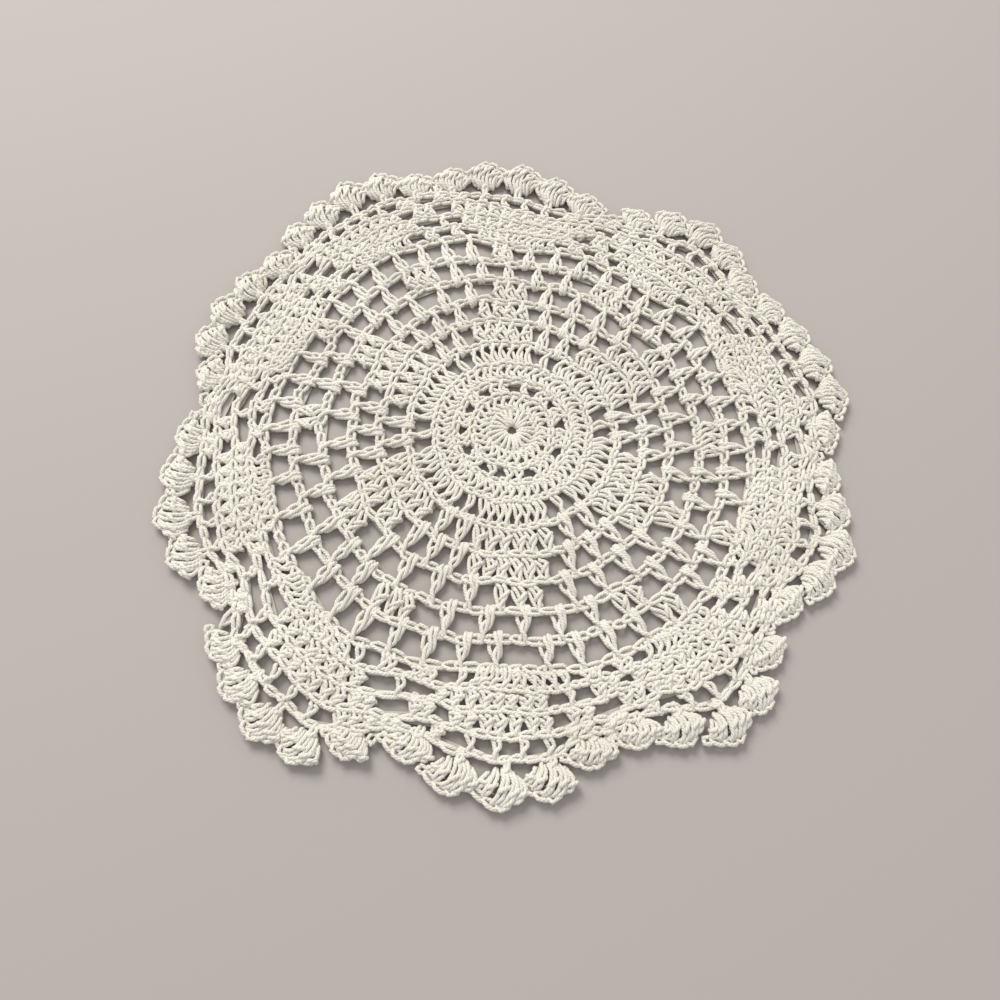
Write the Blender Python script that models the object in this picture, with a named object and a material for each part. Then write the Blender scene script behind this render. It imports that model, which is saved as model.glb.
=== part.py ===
"""A crocheted lace doily: one flat, scalloped sheet of cotton lace, lying on its underside.

Metres, +Z up. The origin is the middle of the underside. Angles are in degrees, clockwise from +Y
as seen from above. Radii in the tables are shares of NOTCH_RADIUS.
"""
import math
from bisect import bisect_right
from collections import namedtuple

import bmesh
import bpy
from mathutils import Matrix

# Driving dimensions, in metres.
NOTCH_RADIUS = 0.088        # from the middle to a notch between two lobes
THICKNESS = 0.0024          # of the lace
CLUSTER_TOP = 0.0042        # height of the stitch clusters along the edge

# Widths of the strips between the gaps, as shares of NOTCH_RADIUS.
CHAIN_WIDTH = 0.024         # of the braid that runs along each round
CLUSTER_HEIGHTS = (0.095, 0.120, 0.130, 0.120, 0.095)   # of the five clusters of a lobe
NOTCH_RIM = 0.016           # lace outside the last round at a notch
VALLEY = 0.030              # how far the outline dips between two clusters
SHOULDER_DROP = 0.0066      # how far it dips at a cluster's two shoulders
SHOULDER_SPREAD = 0.28      # from a cluster's tip to a shoulder, as a share of the pitch
GAP_POINT = 0.20            # share of a large gap's width that each of its pointed sides takes

# The lobes, in order round the doily. centre and pitch place the five clusters, shell is the radius
# at which the lobe's rounds start, tips are the radii of the clusters, notch, rim and neck are the
# angle of the notch that follows, its radius, and where the rounds start there, and tall is how
# much taller than CLUSTER_HEIGHTS the clusters are.
Lobe = namedtuple("Lobe", "centre pitch shell tips notch rim neck tall")
LOBES = (
    Lobe(33.2, 6.4, 0.735, (1.040, 1.105, 1.143, 1.120, 1.065), 49.4, 0.985, 0.780, 1.1),
    Lobe(67.4, 6.8, 0.750, (1.075, 1.100, 1.120, 1.130, 1.065), 85.0, 0.990, 0.765, 1.0),
    Lobe(103.9, 6.5, 0.765, (1.050, 1.085, 1.118, 1.085, 1.025), 121.5, 0.975, 0.780, 1.0),
    Lobe(139.4, 6.5, 0.775, (1.055, 1.120, 1.137, 1.075, 1.030), 157.0, 0.975, 0.775, 0.95),
    Lobe(174.7, 7.1, 0.750, (1.045, 1.110, 1.130, 1.105, 1.050), 193.0, 0.990, 0.785, 1.0),
    Lobe(209.5, 6.0, 0.815, (1.100, 1.175, 1.185, 1.155, 1.115), 226.5, 0.990, 0.790, 0.95),
    Lobe(245.1, 7.2, 0.765, (1.050, 1.100, 1.110, 1.080, 1.040), 265.5, 0.980, 0.770, 1.0),
    Lobe(286.7, 6.8, 0.740, (1.025, 1.080, 1.092, 1.080, 1.060), 304.0, 0.985, 0.780, 1.05),
    Lobe(320.8, 6.4, 0.805, (1.105, 1.140, 1.170, 1.155, 1.110), 337.0, 1.010, 0.790, 1.2),
    Lobe(355.0, 6.9, 0.735, (1.110, 1.130, 1.120, 1.075, 1.030), 373.4, 0.960, 0.750, 1.3),
)
SHELL_RADIUS = 0.765        # where the lobes' rounds start on an even doily

# The openwork rounds. inner and outer are radii, or shares of a lobe's depth in the lobes' rounds.
# post is the width of the stitches between two gaps, and corners is 6 where the gaps are large and
# 4 where they are small. runs are the meshes: the middle angle of a run of gaps, the angle from one
# gap to the next, and how many gaps it has. What lies between two runs is close work.
Round = namedtuple("Round", "name inner outer post corners runs")
STAR_ROUNDS = (
    Round("a", 0.245, 0.330, 0.024, 4,
          ((15.2, 11.5, 2), (76.2, 12.5, 2), (143.0, 11.0, 2), (200.2, 9.0, 2), (258.0, 13.0, 2),
           (318.6, 10.8, 2))),
    Round("b", 0.330, 0.420, 0.034, 6,
          ((15.6, 11.0, 3), (79.2, 11.2, 3), (140.7, 11.0, 3), (201.6, 9.6, 3), (260.6, 11.2, 3),
           (319.8, 9.8, 3))),
    Round("c", 0.420, 0.505, 0.036, 6,
          ((18.6, 10.8, 4), (81.2, 10.8, 4), (141.4, 9.8, 4), (203.0, 8.8, 4), (261.5, 10.3, 4),
           (321.2, 9.7, 4))),
    Round("d", 0.505, 0.595, 0.040, 6,
          ((22.2, 10.7, 5), (82.0, 11.0, 5), (140.2, 10.1, 5), (201.6, 10.4, 5), (261.9, 11.0, 5),
           (322.9, 10.2, 5))),
    Round("e", 0.595, 0.680, 0.042, 6,
          ((6.3, 9.6, 3), (39.8, 8.4, 3), (65.4, 9.4, 3), (100.8, 9.2, 3), (125.7, 7.9, 3),
           (156.2, 9.2, 3), (185.2, 9.9, 3), (219.0, 8.0, 3), (247.0, 10.1, 3), (282.0, 9.7, 3),
           (308.9, 8.1, 3), (339.6, 8.2, 3))),
    Round("f", 0.680, 0.765, 0.042, 6,
          ((9.8, 7.7, 5), (45.4, 7.4, 5), (82.9, 7.1, 5), (104.9, 7.6, 1), (121.4, 7.0, 3),
           (138.8, 7.0, 1), (154.3, 7.6, 3), (170.9, 12.4, 1), (195.8, 7.6, 5), (234.4, 9.0, 5),
           (273.0, 7.3, 5), (311.5, 6.9, 5), (338.4, 6.8, 3))),
)
LOBE_ROUNDS = (
    Round("g", 0.00, 0.26, 0.062, 4,
          ((6.2, 7.3, 1), (13.8, 7.5, 1), (20.5, 6.5, 1), (78.4, 7.1, 1), (86.1, 7.7, 1),
           (118.2, 6.5, 1), (126.2, 7.1, 1), (146.5, 6.5, 1), (153.2, 6.5, 1), (186.3, 7.7, 1),
           (194.6, 7.3, 1), (201.1, 6.5, 1), (233.5, 8.9, 1), (256.8, 7.7, 1), (264.0, 6.5, 1),
           (271.4, 7.7, 1), (309.3, 7.3, 1), (329.5, 7.3, 1), (336.0, 6.7, 1), (342.4, 7.3, 1))),
    Round("h", 0.26, 0.51, 0.046, 4,
          ((10.6, 7.5, 1), (18.3, 4.9, 1), (46.8, 5.5, 1), (53.4, 5.7, 1), (81.7, 6.1, 1),
           (87.7, 5.9, 1), (115.3, 6.5, 1), (123.4, 6.1, 1), (150.4, 6.1, 1), (158.4, 5.9, 1),
           (190.0, 7.7, 1), (197.7, 6.3, 1), (222.2, 6.7, 1), (229.8, 6.7, 1), (260.9, 7.7, 1),
           (268.9, 6.7, 1), (274.4, 5.1, 1), (305.9, 6.3, 1), (332.8, 6.9, 1), (339.4, 4.5, 1))),
    Round("i", 0.51, 0.76, 0.046, 4,
          ((15.1, 6.3, 1), (50.7, 4.9, 1), (84.1, 6.1, 1), (120.2, 7.3, 1), (155.4, 7.3, 1),
           (193.5, 7.5, 1), (225.9, 7.9, 1), (232.8, 5.5, 1), (266.2, 7.9, 1), (304.1, 5.5, 1),
           (337.0, 6.3, 1))),
    Round("j", 0.76, 1.00, 0.032, 4,
          ((32.3, 4.3, 5), (65.6, 4.3, 4), (101.0, 4.2, 4), (138.0, 4.4, 4), (173.4, 4.3, 5),
           (211.0, 4.1, 5), (244.4, 4.6, 5), (284.3, 4.4, 4), (318.7, 3.9, 5), (353.6, 4.6, 5))),
)
# The gaps under the edge, between two clusters of a lobe: the first gap of each lobe and how many.
EDGE_GAPS = ((0, 4), (0, 4), (2, 2), (0, 4), (0, 4), (1, 3), (0, 4), (1, 3), (0, 4), (0, 4))
EDGE_GAP_WIDTH = 0.046
EDGE_GAP_TOP = 0.052        # from the last round to the far side of the gap
EDGE_STRIP = 0.020          # least width of the lace outside such a gap

# The raised clusters, as shares of NOTCH_RADIUS.
CLUSTER_HALF_WIDTH = 0.040
CLUSTER_HALF_DEPTH = 0.036
CLUSTER_INSET = 0.048       # from a cluster's tip to its middle
DOME_MIDDLE = 0.0012        # height of a dome's middle, in metres
DOME_UNDERSIDE = 0.00096    # height at which it is cut flat, in metres, inside the sheet

COTTON_COLOUR = (0.80, 0.76, 0.67, 1.0)


def remove_scene_objects():
    for old in list(bpy.context.scene.objects):
        bpy.data.objects.remove(old, do_unlink=True)


def eased(points, angle):
    """Value at an angle of a closed row of (angle, value) points, with an easy curve between them."""
    angles = [a for a, _ in points]
    turned = (angle - angles[0]) % 360.0 + angles[0]
    low = bisect_right(angles, turned) - 1
    a0, v0 = points[low]
    a1, v1 = points[low + 1] if low + 1 < len(points) else (points[0][0] + 360.0, points[0][1])
    share = (turned - a0) / (a1 - a0)
    return v0 + (v1 - v0) * (1.0 - math.cos(math.pi * share)) / 2.0


def cluster_angle(lobe, index):
    return lobe.centre + (index - 2) * lobe.pitch


def shell_points():
    points = []
    for lobe in LOBES:
        points += [(lobe.centre, lobe.shell), (lobe.notch, lobe.neck)]
    return points


def edge_points():
    points = []
    for lobe in LOBES:
        points += [(cluster_angle(lobe, k), lobe.tips[k] - CLUSTER_HEIGHTS[k] * lobe.tall) for k in range(5)]
        points.append((lobe.notch, lobe.rim - NOTCH_RIM))
    return points


SHELL = shell_points()
EDGE = edge_points()


def star_radius(angle, radius):
    """Radius of a round inside the lobes, drawn in or out as the lobe outside it is."""
    pull = eased(SHELL, angle) / SHELL_RADIUS - 1.0
    return radius * (1.0 + pull * (radius / SHELL_RADIUS) ** 1.5)


def lobe_radius(angle, share):
    """Radius of a round in the lobes: share 0 is where they start, and 1 is their last round."""
    shell = eased(SHELL, angle)
    return shell + share * (eased(EDGE, angle) - shell)


def place(angle, radius):
    turn = math.radians(angle)
    return (NOTCH_RADIUS * radius * math.sin(turn), NOTCH_RADIUS * radius * math.cos(turn))


def gap_outline(middle, half_angle, low, high, corners):
    """Corners of a gap between two radii, which are functions of the angle: 4, or 6 with points."""
    point = 2.0 * GAP_POINT * half_angle if corners == 6 else 0.0
    left, right = middle - half_angle, middle + half_angle
    outline = [(left + point, low), (right - point, low), (right - point, high),
               (left + point, high)]
    outline = [place(angle, radius(angle)) for angle, radius in outline]
    if corners == 6:
        outline.insert(2, place(right, (low(right) + high(right)) / 2.0))
        outline.append(place(left, (low(left) + high(left)) / 2.0))
    return outline


def round_gaps(row, radius_at):
    """Outlines of all the gaps of a round."""
    half_chain = CHAIN_WIDTH / 2.0
    gaps = []
    for middle, pitch, count in row.runs:
        for index in range(count):
            angle = middle + (index - (count - 1) / 2.0) * pitch
            mean = (radius_at(angle, row.inner) + radius_at(angle, row.outer)) / 2.0
            half_angle = pitch / 2.0 - math.degrees(row.post / mean) / 2.0
            gaps.append(gap_outline(angle, half_angle,
                                    lambda a: radius_at(a, row.inner) + half_chain,
                                    lambda a: radius_at(a, row.outer) - half_chain,
                                    row.corners))
    return gaps


def edge_gaps():
    """Outlines of the gaps between the last round and the clusters of the edge."""
    gaps = []
    for lobe, (first, count) in zip(LOBES, EDGE_GAPS):
        for index in range(first, first + count):
            angle = cluster_angle(lobe, index + 0.5)
            half_angle = math.degrees(EDGE_GAP_WIDTH / lobe_radius(angle, 1.0)) / 2.0
            valley = min(lobe.tips[index:index + 2]) - VALLEY
            gaps.append(gap_outline(angle, half_angle,
                                    lambda a: lobe_radius(a, 1.0) + CHAIN_WIDTH / 2.0,
                                    lambda a: min(lobe_radius(a, 1.0) + EDGE_GAP_TOP,
                                                  valley - EDGE_STRIP), 4))
    return gaps


def scalloped_outline():
    """The doily's outline: a rounded point for each cluster, and a notch between the lobes."""
    outline = []
    for lobe in LOBES:
        spread = SHOULDER_SPREAD * lobe.pitch
        for k, tip in enumerate(lobe.tips):
            angle = cluster_angle(lobe, k)
            outline.append(place(angle - spread, tip - SHOULDER_DROP))
            outline.append(place(angle, tip))
            outline.append(place(angle + spread, tip - SHOULDER_DROP))
            if k < 4:
                outline.append(place(angle + 0.5 * lobe.pitch,
                                     min(tip, lobe.tips[k + 1]) - VALLEY))
        outline.append(place(lobe.notch, lobe.rim))
    return outline


def closed_spline(curve, outline):
    spline = curve.splines.new("POLY")
    spline.points.add(len(outline) - 1)
    for point, (x, y) in zip(spline.points, outline):
        point.co = (x, y, 0.0, 1.0)
    spline.use_cyclic_u = True


def lace_sheet(name, collection):
    """The flat sheet with its gaps, as a closed mesh that stands on z = 0."""
    curve = bpy.data.curves.new(name, "CURVE")
    curve.dimensions = "2D"
    curve.fill_mode = "BOTH"
    curve.extrude = THICKNESS / 2.0
    closed_spline(curve, scalloped_outline())
    for row in STAR_ROUNDS:
        for gap in round_gaps(row, star_radius):
            closed_spline(curve, gap)
    for row in LOBE_ROUNDS:
        for gap in round_gaps(row, lobe_radius):
            closed_spline(curve, gap)
    for gap in edge_gaps():
        closed_spline(curve, gap)
    drawn = bpy.data.objects.new(name + "_outline", curve)
    collection.objects.link(drawn)
    evaluated = drawn.evaluated_get(bpy.context.evaluated_depsgraph_get())
    mesh = bpy.data.meshes.new_from_object(evaluated)
    bpy.data.objects.remove(drawn, do_unlink=True)
    sheet = bmesh.new()
    sheet.from_mesh(mesh)
    bmesh.ops.remove_doubles(sheet, verts=sheet.verts, dist=0.00001)
    bmesh.ops.translate(sheet, verts=sheet.verts, vec=(0.0, 0.0, THICKNESS / 2.0))
    bmesh.ops.recalc_face_normals(sheet, faces=sheet.faces)
    sheet.to_mesh(mesh)
    sheet.free()
    mesh.name = name
    lace = bpy.data.objects.new(name, mesh)
    collection.objects.link(lace)
    return lace


def cluster_domes(collection):
    """The raised clusters, one low dome each, which are joined to the sheet."""
    domes = bmesh.new()
    for lobe in LOBES:
        for k, tip in enumerate(lobe.tips):
            angle = cluster_angle(lobe, k)
            x, y = place(angle, tip - CLUSTER_INSET)
            made = bmesh.ops.create_uvsphere(domes, u_segments=6, v_segments=4, radius=1.0)["verts"]
            bmesh.ops.scale(domes, verts=made,
                            vec=(NOTCH_RADIUS * CLUSTER_HALF_WIDTH,
                                 NOTCH_RADIUS * CLUSTER_HALF_DEPTH, CLUSTER_TOP - DOME_MIDDLE))
            turn = Matrix.Rotation(-math.radians(angle), 3, "Z")
            bmesh.ops.rotate(domes, verts=made, cent=(0.0, 0.0, 0.0), matrix=turn)
            bmesh.ops.translate(domes, verts=made, vec=(x, y, DOME_MIDDLE))
    for vert in domes.verts:
        vert.co.z = max(vert.co.z, DOME_UNDERSIDE)
    mesh = bpy.data.meshes.new("cluster_domes")
    domes.to_mesh(mesh)
    domes.free()
    cutter = bpy.data.objects.new("cluster_domes", mesh)
    cutter.hide_render = True
    cutter.display_type = "WIRE"
    collection.objects.link(cutter)
    return cutter


def cotton():
    material = bpy.data.materials.new("cotton")
    material.use_nodes = True
    shader = material.node_tree.nodes["Principled BSDF"]
    shader.inputs["Base Color"].default_value = COTTON_COLOUR
    shader.inputs["Roughness"].default_value = 0.85
    shader.inputs["Metallic"].default_value = 0.0
    return material


def build():
    remove_scene_objects()
    parts = bpy.data.collections.new("lace_doily")
    cutters = bpy.data.collections.new("joined_shapes")
    for collection in (parts, cutters):
        bpy.context.scene.collection.children.link(collection)
    doily = lace_sheet("doily", parts)
    raised = doily.modifiers.new("raised_clusters", "BOOLEAN")
    raised.operation = "UNION"
    raised.object = cluster_domes(cutters)
    doily.data.materials.append(cotton())


build()
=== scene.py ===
"""Looks of a crocheted lace doily: its cotton yarn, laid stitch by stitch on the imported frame.

Metres, +Z up. Angles are in degrees, clockwise from +Y as seen from above. Radii in the tables are
shares of NOTCH_RADIUS.
"""

import math
import random
from bisect import bisect_right
from collections import namedtuple

import bmesh
import bpy
import numpy as np
from mathutils import Matrix, Vector


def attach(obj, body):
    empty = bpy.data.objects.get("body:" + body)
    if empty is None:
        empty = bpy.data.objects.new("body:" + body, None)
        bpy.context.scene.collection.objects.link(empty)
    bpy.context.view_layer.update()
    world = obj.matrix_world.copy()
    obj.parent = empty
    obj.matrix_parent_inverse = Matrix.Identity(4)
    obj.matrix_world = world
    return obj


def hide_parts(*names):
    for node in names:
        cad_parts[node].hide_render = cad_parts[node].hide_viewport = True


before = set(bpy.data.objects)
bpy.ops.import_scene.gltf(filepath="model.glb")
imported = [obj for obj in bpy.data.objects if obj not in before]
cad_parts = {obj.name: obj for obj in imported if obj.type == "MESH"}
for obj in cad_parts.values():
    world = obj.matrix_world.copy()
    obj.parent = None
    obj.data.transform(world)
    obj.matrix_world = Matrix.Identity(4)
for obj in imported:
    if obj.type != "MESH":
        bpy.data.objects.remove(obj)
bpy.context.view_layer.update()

# ---------------------------------------------------------------- sizes of the doily

NOTCH_RADIUS = 0.088        # from the middle to a notch between two lobes
YARN = 0.00113              # diameter of the cotton yarn
PLIES = 3                   # of the yarn
TWIST_LENGTH = 0.0026       # yarn in which each of its plies goes round once
SIDES = 1                   # bevel resolution of the yarn, which gives six sides
SHARP = math.radians(28.0)  # a run of yarn gets one more point at a turn sharper than this
NEAR_WEIGHT = 0.5625        # of the points beside a new one, which keeps to their curve
FAR_WEIGHT = 0.0625         # of the points beyond those

MIDDLE_HEIGHT = 0.00140     # height of the middle of the lace above the surface it lies on
HEIGHT_SHARE = 0.72         # how flat the strands are pressed, where 1 is not at all
CLOSE_RISE = 0.0005         # the braid over close work is so much higher than over the gaps
CLUSTER_RISE = 0.0003       # a cluster is so much higher than the lace

LOOSE = 0.00024             # how far a bend of the yarn strays from its place in a stitch
CHAIN_LOOSE = 0.00016       # how far it strays in a chain
LOOSE_HEIGHT = 0.6          # the share of this that it strays up and down
STITCH_LIFT = 0.00006       # how far a stitch lies over or under its round
BRAID_LIFT = 0.0001         # how far a chain stitch does so

# Shares of NOTCH_RADIUS, unless a note says otherwise.
CHAIN_LENGTH = 0.042        # one chain stitch over a gap
BRAID_STRAY = 0.0050        # how far a chain stitch strays outwards or inwards
BRAID_SLIP = 0.003          # how far it strays along its braid
POST_LEAN = 0.005           # how far a stitch between two gaps leans at each end
STITCH_STRAY = 0.16         # how far a stitch's ends stray in close work, as a share of its space
LONE_LIMIT = 1.4            # one stitch stands between two gaps up to so many times its space apart
GAP_BOW = 0.08              # how far a chain bows outwards over a gap, as a share of the gap
GAP_BREADTH = 1.30          # how broad a chain over a gap is, where one over close work is 1
LOBE_GAP_BREADTH = 0.78     # how broad it is over the small gaps of the lobes
RIM_BREADTH = 1.15          # how broad the chain round a cluster is

CLUSTERS = 5                # of a lobe
CLUSTER_HEIGHTS = (0.095, 0.120, 0.130, 0.120, 0.095)   # from the last round to their tips
NOTCH_RIM = 0.016           # lace outside the last round at a notch
SHELL_RADIUS = 0.765        # where the lobes' rounds start on an even doily
PULL_POWER = 1.5            # how fast a lobe's pull on the rounds inside it fades to the middle
NOTCH_SHIFT = 0.86          # how far the outer of the lobes' rounds move outwards at a notch
NOTCH_POWER = 3             # how much more the outer rounds do so than the inner ones

# How hand work strays from an even round: waves in a turn, how far they are turned from the middle
# to NOTCH_RADIUS, in radians, and how far they go out and in.
Sway = namedtuple("Sway", "waves turned size")
SWAYS = (
    Sway(17.0, 41.0, 0.0035),
    Sway(31.0, -67.0, 0.0025),
)
SWAY_GROWTH = 3.0           # sways grow from none in the middle to all at 1 / SWAY_GROWTH

# The lobes, in order round the doily. centre and pitch place the clusters, shell is the radius at
# which the lobe's rounds start, tips are the radii of the clusters, notch, rim and neck are the
# angle of the notch that follows, its radius, and where the rounds start there, and tall is how
# much taller than CLUSTER_HEIGHTS the clusters are.
Lobe = namedtuple("Lobe", "centre pitch shell tips notch rim neck tall")
LOBES = (
    Lobe(33.2, 6.4, 0.735, (1.040, 1.105, 1.143, 1.120, 1.065), 49.4, 0.985, 0.780, 1.1),
    Lobe(67.4, 6.8, 0.750, (1.075, 1.100, 1.120, 1.130, 1.065), 85.0, 0.990, 0.765, 1.0),
    Lobe(103.9, 6.5, 0.765, (1.050, 1.085, 1.118, 1.085, 1.025), 121.5, 0.975, 0.780, 1.0),
    Lobe(139.4, 6.5, 0.775, (1.055, 1.120, 1.137, 1.075, 1.030), 157.0, 0.975, 0.775, 0.95),
    Lobe(174.7, 7.1, 0.750, (1.045, 1.110, 1.130, 1.105, 1.050), 193.0, 0.990, 0.785, 1.0),
    Lobe(209.5, 6.0, 0.815, (1.100, 1.175, 1.185, 1.155, 1.115), 226.5, 0.990, 0.790, 0.95),
    Lobe(245.1, 7.2, 0.765, (1.050, 1.100, 1.110, 1.080, 1.040), 265.5, 0.980, 0.770, 1.0),
    Lobe(286.7, 6.8, 0.740, (1.025, 1.080, 1.092, 1.080, 1.060), 304.0, 0.985, 0.780, 1.05),
    Lobe(320.8, 6.4, 0.805, (1.105, 1.140, 1.170, 1.155, 1.110), 337.0, 1.010, 0.790, 1.2),
    Lobe(355.0, 6.9, 0.735, (1.110, 1.130, 1.120, 1.075, 1.030), 373.4, 0.960, 0.750, 1.3),
)

# A round of stitches. inner and outer are radii, or shares of a lobe's depth in the lobes' rounds.
# form and close are the stitch of close work and the space that it fills, or count is how many there
# are in a round without gaps. between and post are the stitch between two gaps and its space. fan is
# the share of its angle from the lobe's middle that a stitch's foot keeps. runs are the open meshes:
# the middle angle of a run of gaps, the angle from one gap to the next, and how many gaps.
Round = namedtuple("Round", "name inner outer form close count between post fan runs")
MIDDLE_ROUNDS = (
    Round("eye", 0.024, 0.066, "spoke", 0.0, 22, "", 0.0, 1.0, ()),
    Round("disc", 0.066, 0.128, "slim", 0.0, 25, "", 0.0, 1.0, ()),
    Round("ring", 0.128, 0.182, "slim", 0.028, 0, "slim", 0.052, 1.0,
          ((18.0, 31.0, 1), (45.0, 28.0, 1), (73.0, 30.0, 1), (112.0, 32.0, 1), (152.0, 31.0, 1),
           (186.0, 28.0, 1), (207.0, 27.0, 1), (234.0, 31.0, 1), (261.0, 30.0, 1), (291.0, 31.0, 1),
           (319.0, 31.0, 1), (352.0, 33.0, 1))),
    Round("collar", 0.182, 0.245, "slim", 0.0, 53, "", 0.0, 1.0, ()),
)
STAR_ROUNDS = (
    Round("a", 0.245, 0.330, "slim", 0.0285, 0, "slim", 0.028, 1.0,
          ((15.2, 11.5, 2), (76.2, 12.5, 2), (143.0, 11.0, 2), (200.2, 9.0, 2), (258.0, 13.0, 2),
           (318.6, 10.8, 2))),
    Round("b", 0.330, 0.420, "dc", 0.040, 0, "post", 0.040, 1.0,
          ((15.6, 11.0, 3), (79.2, 11.2, 3), (140.7, 11.0, 3), (201.6, 9.6, 3), (260.6, 11.2, 3),
           (319.8, 9.8, 3))),
    Round("c", 0.420, 0.505, "dc", 0.040, 0, "post", 0.040, 1.0,
          ((18.6, 10.8, 4), (81.2, 10.8, 4), (141.4, 9.8, 4), (203.0, 8.8, 4), (261.5, 10.3, 4),
           (321.2, 9.7, 4))),
    Round("d", 0.505, 0.595, "dc", 0.040, 0, "post", 0.042, 1.0,
          ((22.2, 10.7, 5), (82.0, 11.0, 5), (140.2, 10.1, 5), (201.6, 10.4, 5), (261.9, 11.0, 5),
           (322.9, 10.2, 5))),
)
OUTER_ROUNDS = (
    Round("e", 0.595, 0.680, "dc", 0.043, 0, "post", 0.044, 1.0,
          ((6.3, 9.6, 3), (39.8, 8.4, 3), (65.4, 9.4, 3), (100.8, 9.2, 3), (125.7, 7.9, 3),
           (156.2, 9.2, 3), (185.2, 9.9, 3), (219.0, 8.0, 3), (247.0, 10.1, 3), (282.0, 9.7, 3),
           (308.9, 8.1, 3), (339.6, 8.2, 3))),
    Round("f", 0.680, 0.765, "dc", 0.043, 0, "post", 0.044, 1.0,
          ((9.8, 7.7, 5), (45.4, 7.4, 5), (82.9, 7.1, 5), (104.9, 7.6, 1), (121.4, 7.0, 3),
           (138.8, 7.0, 1), (154.3, 7.6, 3), (170.9, 12.4, 1), (195.8, 7.6, 5), (234.4, 9.0, 5),
           (273.0, 7.3, 5), (311.5, 6.9, 5), (338.4, 6.8, 3))),
)
LOBE_ROUNDS = (
    Round("g", 0.00, 0.24, "slim", 0.029, 0, "slim", 0.062, 0.45,
          ((6.2, 7.3, 1), (13.8, 7.5, 1), (20.5, 6.5, 1), (42.0, 6.3, 1), (78.4, 7.1, 1),
           (86.1, 7.7, 1), (118.2, 6.5, 1), (126.2, 7.1, 1), (146.5, 6.5, 1), (153.2, 6.5, 1),
           (159.8, 6.0, 1), (186.3, 7.7, 1), (194.6, 7.3, 1), (201.1, 6.5, 1), (233.5, 8.9, 1),
           (256.8, 7.7, 1), (264.0, 6.5, 1), (271.4, 7.7, 1), (301.6, 6.0, 1), (309.3, 7.3, 1),
           (329.5, 7.3, 1), (336.0, 6.7, 1), (342.4, 7.3, 1))),
    Round("h", 0.24, 0.48, "dc", 0.041, 0, "slim", 0.040, 0.80,
          ((10.6, 7.5, 1), (18.3, 4.9, 1), (46.8, 5.5, 1), (53.4, 5.7, 1), (81.7, 6.1, 1),
           (87.7, 5.9, 1), (115.3, 6.5, 1), (123.4, 6.1, 1), (150.4, 6.1, 1), (158.4, 5.9, 1),
           (164.5, 4.5, 1), (190.0, 7.7, 1), (197.7, 6.3, 1), (222.2, 6.7, 1), (229.8, 6.7, 1),
           (260.9, 7.7, 1), (268.9, 6.7, 1), (274.4, 5.1, 1), (298.9, 4.5, 1), (305.9, 6.3, 1),
           (332.8, 6.9, 1), (339.4, 4.5, 1))),
    Round("i", 0.48, 0.73, "dc", 0.041, 0, "slim", 0.040, 0.90,
          ((15.1, 6.3, 1), (50.7, 4.9, 1), (56.4, 4.1, 1), (84.1, 6.1, 1), (120.2, 7.3, 1),
           (155.4, 7.3, 1), (164.0, 4.9, 1), (185.3, 4.9, 1), (193.5, 7.5, 1), (219.2, 4.9, 1),
           (225.9, 7.9, 1), (232.8, 5.5, 1), (257.0, 5.3, 1), (266.2, 7.9, 1), (304.1, 5.5, 1),
           (328.8, 4.9, 1), (337.0, 6.3, 1))),
    Round("j", 0.73, 1.00, "dc", 0.040, 0, "slim", 0.027, 1.0,
          ((9.4, 5.5, 1), (18.6, 4.5, 1), (32.3, 4.3, 5), (46.2, 5.7, 1), (54.2, 4.5, 1),
           (65.6, 4.3, 4), (80.7, 4.9, 1), (88.3, 5.1, 1), (101.0, 4.2, 4), (117.0, 5.7, 1),
           (124.6, 3.9, 1), (138.0, 4.4, 4), (151.2, 4.9, 1), (158.4, 3.3, 1), (173.4, 4.3, 5),
           (188.8, 5.7, 1), (211.0, 4.1, 5), (223.0, 3.7, 1), (229.3, 4.9, 1), (244.4, 4.6, 5),
           (261.5, 4.1, 1), (270.2, 5.5, 1), (284.3, 4.4, 4), (299.9, 6.5, 1), (318.7, 3.9, 5),
           (333.8, 5.7, 1), (339.9, 4.5, 1), (353.6, 4.6, 5))),
)

# One tall stitch of a cluster, in shares of NOTCH_RADIUS from the cluster's tip: x is clockwise and
# y outwards. bow is how far it arches to the left, and swell how far it rises, in metres.
ClusterStitch = namedtuple("ClusterStitch", "foot_x foot_y head_x head_y bow swell")
CLUSTER_STITCHES = (
    ClusterStitch(-0.046, -0.072, -0.024, -0.018, -0.026, 0.0004),
    ClusterStitch(-0.027, -0.086, 0.000, -0.008, -0.024, 0.0008),
    ClusterStitch(-0.006, -0.092, 0.024, -0.012, -0.018, 0.0009),
    ClusterStitch(0.016, -0.090, 0.048, -0.030, -0.010, 0.0007),
    ClusterStitch(0.034, -0.080, 0.068, -0.050, -0.004, 0.0002),
)
CLUSTER_STEM = ClusterStitch(-0.013, -0.122, -0.010, -0.060, 0.0, 0.0)
CLUSTER_RIM = ((-0.034, -0.030), (-0.004, 0.000), (0.032, -0.010), (0.064, -0.034), (0.094, -0.052))
CLUSTER_GROUND = ((-0.020, -0.086), (-0.040, -0.066), (-0.034, -0.034), (0.000, -0.014),
                  (0.034, -0.026), (0.048, -0.054), (0.026, -0.074), (-0.004, -0.086))
CLUSTER_WIDTH = 0.134       # from one cluster to the next, where these sizes hold
CLUSTER_DEPTH = 0.130       # from a cluster's tip to the last round, where these sizes hold
CLUSTER_INSET = 0.010       # of the rim's middle from the tip
CLUSTER_BELLY = 0.05        # from a cluster's tip to where it is as broad as that
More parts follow.
